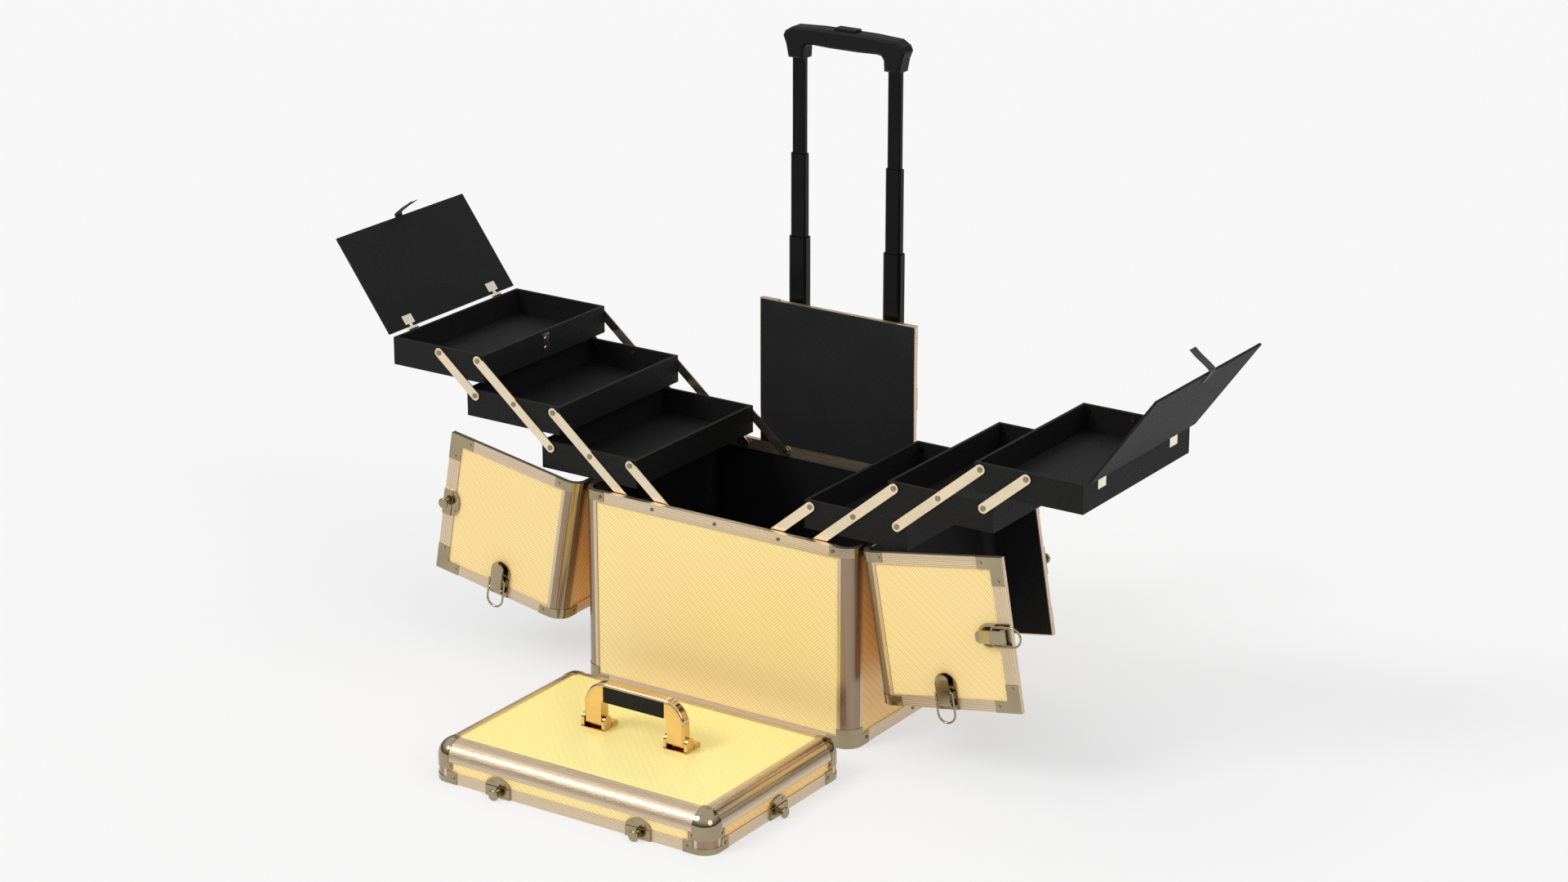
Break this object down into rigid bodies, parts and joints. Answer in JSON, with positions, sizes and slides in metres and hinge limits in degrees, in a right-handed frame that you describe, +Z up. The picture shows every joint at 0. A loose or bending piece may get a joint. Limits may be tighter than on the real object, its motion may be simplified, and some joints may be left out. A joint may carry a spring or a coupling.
{
  "type": "makeup train case",
  "caption": "Aluminium-framed makeup train case, open: fold-down wings, stacked cantilever trays on both sides, lift-off lid with a carrying handle, telescopic trolley handle and wheels.",
  "frame": {"origin": "middle of the face that the case stands on", "axes": "+X to the right of someone facing the case's front, +Y to its back, +Z up"},
  "size_m": [1.1508, 0.6664, 0.7851],
  "materials": {
    "gold_panel": "fine diagonal weave, satin",
    "black_panel": "fine leather grain, matte",
    "champagne_frame": "grooved, brushed and anodised",
    "polished_fitting": "polished",
    "latch_metal": "polished",
    "screw_metal": "satin",
    "arm_metal": "satin",
    "tray_black": "fine grain, matte",
    "pull_ribbon": "woven",
    "grip_rubber": "matte",
    "tube_black": "black, glossy",
    "handle_plastic": "satin black",
    "wheel_plastic": "satin black"
  },
  "bodies": {
    "case": {"case_boards": "gold_panel", "case_frame": "champagne_frame", "case_corner_caps": "polished_fitting", "upper_back_board": "black_panel", "upper_back_frame": "champagne_frame", "wing_hinges": "polished_fitting", "case_screws": "screw_metal", "back_latch_plates": "polished_fitting", "handle_outer_tubes": "tube_black", "wheel_housings": "handle_plastic"},
    "lid": {"lid_boards": "gold_panel", "lid_frame": "champagne_frame", "lid_corner_caps": "polished_fitting", "lid_fittings": "polished_fitting"},
    "carrying_handle": {"lid_handle_bail": "polished_fitting", "lid_handle_grip": "grip_rubber"},
    "middle_tubes": {"handle_middle_tubes": "tube_black"},
    "inner_tubes": {"handle_inner_tubes": "tube_black", "handle_grip": "handle_plastic"},
    "handle_button": {"handle_button": "handle_plastic"},
    "right_wing": {"right_wing_boards": "gold_panel", "right_wing_frame": "champagne_frame", "right_wing_fittings": "polished_fitting"},
    "right_tray_1": {"right_tray_1": "tray_black"},
    "right_tray_2": {"right_tray_2": "tray_black"},
    "right_tray_3": {"right_tray_3": "tray_black"},
    "right_arm_1": {"right_arm_1": "arm_metal"},
    "right_arm_2": {"right_arm_2": "arm_metal"},
    "right_arm_3": {"right_arm_3": "arm_metal"},
    "right_arm_4": {"right_arm_4": "arm_metal"},
    "right_tray_lid": {"right_tray_lid": "tray_black", "right_lid_pull": "pull_ribbon"},
    "right_wheel": {"right_wheel": "wheel_plastic"},
    "right_front_lever": {"right_front_lever": "latch_metal"},
    "right_front_hoop": {"right_front_hoop": "latch_metal"},
    "right_side_lever": {"right_side_lever": "latch_metal"},
    "right_side_hoop": {"right_side_hoop": "latch_metal"},
    "right_back_lever": {"right_back_lever": "latch_metal"},
    "right_back_hoop": {"right_back_hoop": "latch_metal"},
    "wing_edge_lever": {"wing_edge_lever": "latch_metal"},
    "wing_edge_hoop": {"wing_edge_hoop": "latch_metal"},
    "left_wing": {"left_wing_boards": "gold_panel", "left_wing_frame": "champagne_frame", "left_wing_fittings": "polished_fitting"},
    "left_tray_1": {"left_tray_1": "tray_black"},
    "left_tray_2": {"left_tray_2": "tray_black"},
    "left_tray_3": {"left_tray_3": "tray_black"},
    "left_arm_1": {"left_arm_1": "arm_metal"},
    "left_arm_2": {"left_arm_2": "arm_metal"},
    "left_arm_3": {"left_arm_3": "arm_metal"},
    "left_arm_4": {"left_arm_4": "arm_metal"},
    "left_tray_lid": {"left_tray_lid": "tray_black", "left_lid_pull": "pull_ribbon"},
    "left_wheel": {"left_wheel": "wheel_plastic"},
    "left_front_lever": {"left_front_lever": "latch_metal"},
    "left_front_hoop": {"left_front_hoop": "latch_metal"},
    "left_side_lever": {"left_side_lever": "latch_metal"},
    "left_side_hoop": {"left_side_hoop": "latch_metal"},
    "left_back_lever": {"left_back_lever": "latch_metal"},
    "left_back_hoop": {"left_back_hoop": "latch_metal"}
  },
  "joints": [
    {"name": "lid_lift", "type": "slide", "parent": "case", "child": "lid", "axis": [0, 0, 1], "range_m": [0, 0.45]},
    {"name": "carrying_handle_fold", "type": "hinge", "parent": "lid", "child": "carrying_handle", "pos_m": [0.0253, -0.3295, 0.058], "axis": [1, 0, 0], "range_deg": [0, 90]},
    {"name": "middle_tube_slide", "type": "slide", "parent": "case", "child": "middle_tubes", "axis": [0, 0, 1], "range_m": [-0.1, 0.095]},
    {"name": "inner_tube_slide", "type": "slide", "parent": "middle_tubes", "child": "inner_tubes", "axis": [0, 0, 1], "range_m": [-0.115, 0.095]},
    {"name": "handle_button_press", "type": "slide", "parent": "inner_tubes", "child": "handle_button", "axis": [0, 0, -1], "range_m": [0, 0.003], "stiffness_N_per_m": 400},
    {"name": "right_tray_fold", "type": "hinge", "parent": "case", "child": "right_arm_1", "pos_m": [0.074, 0, 0.2437], "axis": [0, -1, 0], "range_deg": [0, 106.9]},
    {"name": "right_tray_1_pivot", "type": "hinge", "parent": "right_arm_1", "child": "right_tray_1", "pos_m": [0.12832, 0, 0.28896], "axis": [0, -1, 0], "range_deg": [-106.9, 0]},
    {"name": "right_arm_2_pivot", "type": "hinge", "parent": "right_tray_1", "child": "right_arm_2", "pos_m": [0.18739, 0, 0.28896], "axis": [0, -1, 0], "range_deg": [0, 106.9]},
    {"name": "right_tray_2_pivot", "type": "hinge", "parent": "right_arm_2", "child": "right_tray_2", "pos_m": [0.24171, 0, 0.33421], "axis": [0, -1, 0], "range_deg": [-106.9, 0]},
    {"name": "right_arm_3_pivot", "type": "hinge", "parent": "right_tray_2", "child": "right_arm_3", "pos_m": [0.30078, 0, 0.33421], "axis": [0, -1, 0], "range_deg": [0, 106.9]},
    {"name": "right_tray_3_pivot", "type": "hinge", "parent": "right_arm_3", "child": "right_tray_3", "pos_m": [0.35509, 0, 0.37947], "axis": [0, -1, 0], "range_deg": [-106.9, 0]},
    {"name": "right_arm_4_pivot", "type": "hinge", "parent": "right_tray_3", "child": "right_arm_4", "pos_m": [0.41416, 0, 0.37947], "axis": [0, -1, 0], "range_deg": [0, 106.9]},
    {"name": "right_tray_lid_hinge", "type": "hinge", "parent": "right_tray_3", "child": "right_tray_lid", "pos_m": [0.48863, 0, 0.38747], "axis": [0, -1, 0], "range_deg": [0, 126]},
    {"name": "right_wing_hinge", "type": "hinge", "parent": "case", "child": "right_wing", "pos_m": [0.1965, 0, 0.2515], "axis": [0, -1, 0], "range_deg": [0, 170.2]},
    {"name": "right_wheel_spin", "type": "hinge", "parent": "case", "child": "right_wheel", "pos_m": [0.138, 0.165, 0.027], "axis": [1, 0, 0], "continuous": true},
    {"name": "right_front_latch", "type": "hinge", "parent": "right_wing", "child": "right_front_lever", "pos_m": [0.32377, -0.14, 0.09336], "axis": [0.9854, 0, 0.1702], "range_deg": [0, 110]},
    {"name": "right_front_hoop_pivot", "type": "hinge", "parent": "right_front_lever", "child": "right_front_hoop", "pos_m": [0.32139, -0.141, 0.10715], "axis": [0.9854, 0, 0.1702], "range_deg": [-110, 0]},
    {"name": "right_side_latch", "type": "hinge", "parent": "right_wing", "child": "right_side_lever", "pos_m": [0.22425, 0, 0.07616], "axis": [0, -1, 0], "range_deg": [0, 35]},
    {"name": "right_side_hoop_pivot", "type": "hinge", "parent": "right_side_lever", "child": "right_side_hoop", "pos_m": [0.22088, 0, 0.08979], "axis": [0, -1, 0], "range_deg": [-35, 0]},
    {"name": "right_back_latch", "type": "hinge", "parent": "case", "child": "right_back_lever", "pos_m": [0.104, 0.14, 0.3445], "axis": [0, 0, -1], "range_deg": [0, 110]},
    {"name": "right_back_hoop_pivot", "type": "hinge", "parent": "right_back_lever", "child": "right_back_hoop", "pos_m": [0.097, 0.141, 0.3445], "axis": [0, 0, -1], "range_deg": [-110, 0]},
    {"name": "wing_edge_latch", "type": "hinge", "parent": "right_wing", "child": "wing_edge_lever", "pos_m": [0.39783, -0.14, 0.1919], "axis": [-0.1702, 0, 0.9854], "range_deg": [0, 110]},
    {"name": "wing_edge_hoop_pivot", "type": "hinge", "parent": "wing_edge_lever", "child": "wing_edge_hoop", "pos_m": [0.38404, -0.141, 0.18952], "axis": [-0.1702, 0, 0.9854], "range_deg": [-110, 0]},
    {"name": "left_tray_fold", "type": "hinge", "parent": "case", "child": "left_arm_1", "pos_m": [-0.074, 0, 0.2437], "axis": [0, 1, 0], "range_deg": [0, 106.9]},
    {"name": "left_tray_1_pivot", "type": "hinge", "parent": "left_arm_1", "child": "left_tray_1", "pos_m": [-0.12832, 0, 0.28896], "axis": [0, 1, 0], "range_deg": [-106.9, 0]},
    {"name": "left_arm_2_pivot", "type": "hinge", "parent": "left_tray_1", "child": "left_arm_2", "pos_m": [-0.18739, 0, 0.28896], "axis": [0, 1, 0], "range_deg": [0, 106.9]},
    {"name": "left_tray_2_pivot", "type": "hinge", "parent": "left_arm_2", "child": "left_tray_2", "pos_m": [-0.24171, 0, 0.33421], "axis": [0, 1, 0], "range_deg": [-106.9, 0]},
    {"name": "left_arm_3_pivot", "type": "hinge", "parent": "left_tray_2", "child": "left_arm_3", "pos_m": [-0.30078, 0, 0.33421], "axis": [0, 1, 0], "range_deg": [0, 106.9]},
    {"name": "left_tray_3_pivot", "type": "hinge", "parent": "left_arm_3", "child": "left_tray_3", "pos_m": [-0.35509, 0, 0.37947], "axis": [0, 1, 0], "range_deg": [-106.9, 0]},
    {"name": "left_arm_4_pivot", "type": "hinge", "parent": "left_tray_3", "child": "left_arm_4", "pos_m": [-0.41416, 0, 0.37947], "axis": [0, 1, 0], "range_deg": [0, 106.9]},
    {"name": "left_tray_lid_hinge", "type": "hinge", "parent": "left_tray_3", "child": "left_tray_lid", "pos_m": [-0.48863, 0, 0.38747], "axis": [0, 1, 0], "range_deg": [0, 126]},
    {"name": "left_wing_hinge", "type": "hinge", "parent": "case", "child": "left_wing", "pos_m": [-0.1965, 0, 0.2515], "axis": [0, 1, 0], "range_deg": [0, 170.2]},
    {"name": "left_wheel_spin", "type": "hinge", "parent": "case", "child": "left_wheel", "pos_m": [-0.138, 0.165, 0.027], "axis": [1, 0, 0], "continuous": true},
    {"name": "left_front_latch", "type": "hinge", "parent": "left_wing", "child": "left_front_lever", "pos_m": [-0.32377, -0.14, 0.09336], "axis": [0.9854, 0, -0.1702], "range_deg": [0, 110]},
    {"name": "left_front_hoop_pivot", "type": "hinge", "parent": "left_front_lever", "child": "left_front_hoop", "pos_m": [-0.32139, -0.141, 0.10715], "axis": [0.9854, 0, -0.1702], "range_deg": [-110, 0]},
    {"name": "left_side_latch", "type": "hinge", "parent": "left_wing", "child": "left_side_lever", "pos_m": [-0.22425, 0, 0.07616], "axis": [0, 1, 0], "range_deg": [0, 35]},
    {"name": "left_side_hoop_pivot", "type": "hinge", "parent": "left_side_lever", "child": "left_side_hoop", "pos_m": [-0.22088, 0, 0.08979], "axis": [0, 1, 0], "range_deg": [-35, 0]},
    {"name": "left_back_latch", "type": "hinge", "parent": "case", "child": "left_back_lever", "pos_m": [-0.104, 0.14, 0.3445], "axis": [0, 0, 1], "range_deg": [0, 110]},
    {"name": "left_back_hoop_pivot", "type": "hinge", "parent": "left_back_lever", "child": "left_back_hoop", "pos_m": [-0.097, 0.141, 0.3445], "axis": [0, 0, 1], "range_deg": [-110, 0]}
  ],
  "couplings": [
    {"joint": "right_tray_1_pivot", "follows": "right_tray_fold", "ratio": -1},
    {"joint": "right_arm_2_pivot", "follows": "right_tray_fold", "ratio": 1},
    {"joint": "right_tray_2_pivot", "follows": "right_tray_fold", "ratio": -1},
    {"joint": "right_arm_3_pivot", "follows": "right_tray_fold", "ratio": 1},
    {"joint": "right_tray_3_pivot", "follows": "right_tray_fold", "ratio": -1},
    {"joint": "right_arm_4_pivot", "follows": "right_tray_fold", "ratio": 1},
    {"joint": "right_tray_lid_hinge", "follows": "right_tray_fold", "ratio": 1.1787},
    {"joint": "right_wing_hinge", "follows": "right_tray_fold", "ratio": 1.5921},
    {"joint": "right_front_hoop_pivot", "follows": "right_front_latch", "ratio": -1},
    {"joint": "right_side_hoop_pivot", "follows": "right_side_latch", "ratio": -1},
    {"joint": "right_back_hoop_pivot", "follows": "right_back_latch", "ratio": -1},
    {"joint": "wing_edge_hoop_pivot", "follows": "wing_edge_latch", "ratio": -1},
    {"joint": "left_tray_1_pivot", "follows": "left_tray_fold", "ratio": -1},
    {"joint": "left_arm_2_pivot", "follows": "left_tray_fold", "ratio": 1},
    {"joint": "left_tray_2_pivot", "follows": "left_tray_fold", "ratio": -1},
    {"joint": "left_arm_3_pivot", "follows": "left_tray_fold", "ratio": 1},
    {"joint": "left_tray_3_pivot", "follows": "left_tray_fold", "ratio": -1},
    {"joint": "left_arm_4_pivot", "follows": "left_tray_fold", "ratio": 1},
    {"joint": "left_tray_lid_hinge", "follows": "left_tray_fold", "ratio": 1.1787},
    {"joint": "left_wing_hinge", "follows": "left_tray_fold", "ratio": 1.5921},
    {"joint": "left_front_hoop_pivot", "follows": "left_front_latch", "ratio": -1},
    {"joint": "left_side_hoop_pivot", "follows": "left_side_latch", "ratio": -1},
    {"joint": "left_back_hoop_pivot", "follows": "left_back_latch", "ratio": -1}
  ]
}
